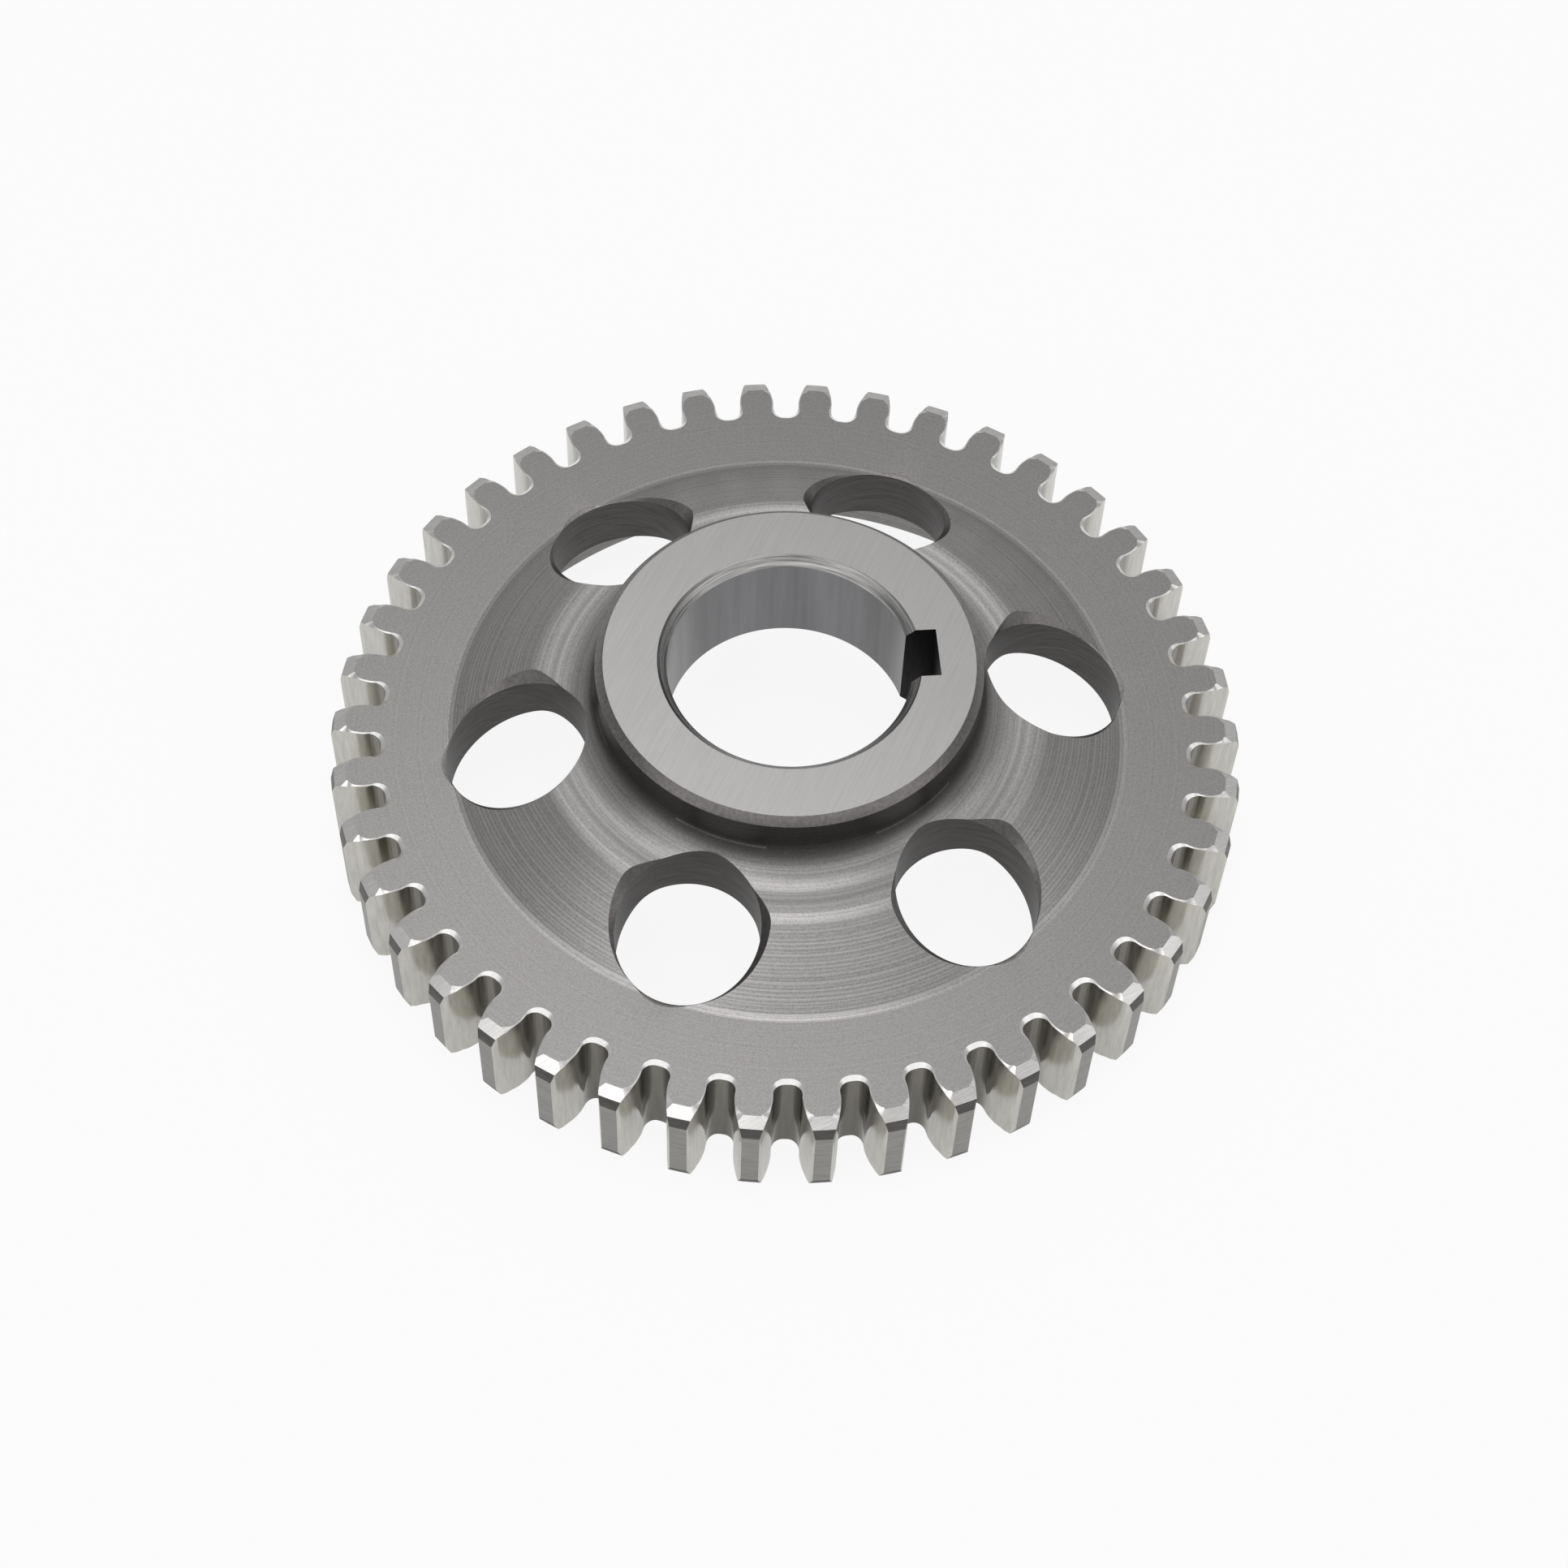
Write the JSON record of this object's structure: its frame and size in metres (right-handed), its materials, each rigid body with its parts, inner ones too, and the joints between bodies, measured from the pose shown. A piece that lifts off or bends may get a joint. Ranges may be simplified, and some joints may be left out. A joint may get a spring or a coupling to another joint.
{
  "type": "balance shaft gear",
  "caption": "Spur gear with involute teeth, a dished web pierced by round lightening holes and a raised, keyed hub that is fixed on a balance shaft.",
  "frame": {"origin": "on the gear's axis, in the plane of the rim's underside, which is the lowest face", "axes": "+Z along the bore's axis towards the raised face of the hub; +X from the axis through the middle of the keyway"},
  "size_m": [0.0988, 0.099, 0.0248],
  "materials": {
    "steel": "bare machined steel: a finely turned rim face and web, a ground hub face and smoother hobbed tooth flanks"
  },
  "bodies": {
    "root": {"gear": "steel"}
  },
  "joints": []
}
